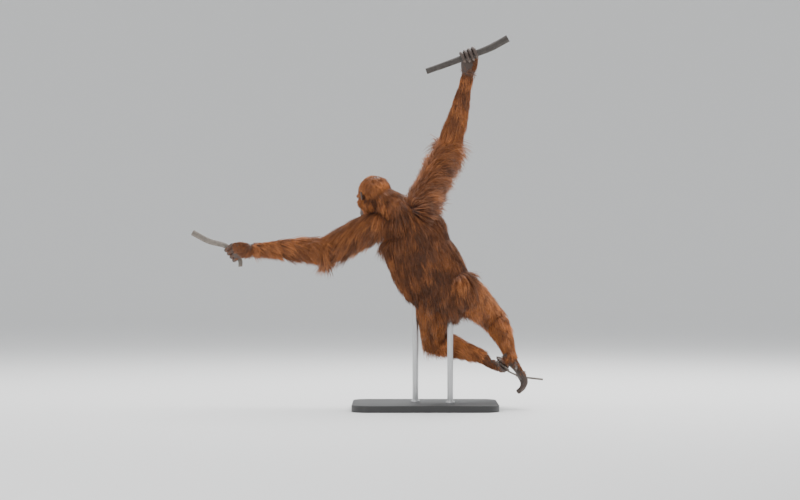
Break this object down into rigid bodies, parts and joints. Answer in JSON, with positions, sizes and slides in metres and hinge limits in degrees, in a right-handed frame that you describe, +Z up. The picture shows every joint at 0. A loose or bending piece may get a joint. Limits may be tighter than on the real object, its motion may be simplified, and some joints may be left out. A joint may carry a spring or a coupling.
{
  "type": "hanging orangutan display model",
  "caption": "Life-size still model of an adult female orangutan hanging by one arm from a branch, on a plain stand with rods.",
  "frame": {"origin": "middle of the underside of the stand's base", "axes": "+Z up; +Y the way the animal's chest faces, away from the viewer of its back; +X towards the animal's right"},
  "size_m": [1.5815, 0.4825, 1.646],
  "materials": {
    "coat": "long shaggy rust-orange hair, darker at the roots",
    "skin": "bare dark grey-brown skin, matt",
    "eye": "wet gloss, dark brown",
    "bark": "rough grey-brown bark",
    "base": "matt charcoal paint",
    "steel": "brushed"
  },
  "bodies": {
    "root": {"stand_base": "base", "stand_rod_rump": "steel", "stand_rod_belly": "steel", "perch_branch": "bark", "perch_liana": "bark", "perch_twig": "bark", "torso": "coat", "head": "coat", "ear_left": "skin", "ear_right": "skin", "neck": "coat", "upper_arm_left": "coat", "forearm_left": "coat", "hand_left": "skin", "thigh_left": "coat", "shin_left": "coat", "foot_left": "skin", "upper_arm_right": "coat", "forearm_right": "coat", "hand_right": "skin", "thigh_right": "coat", "shin_right": "coat", "foot_right": "skin", "eye_left": "eye", "eye_right": "eye"}
  },
  "joints": []
}
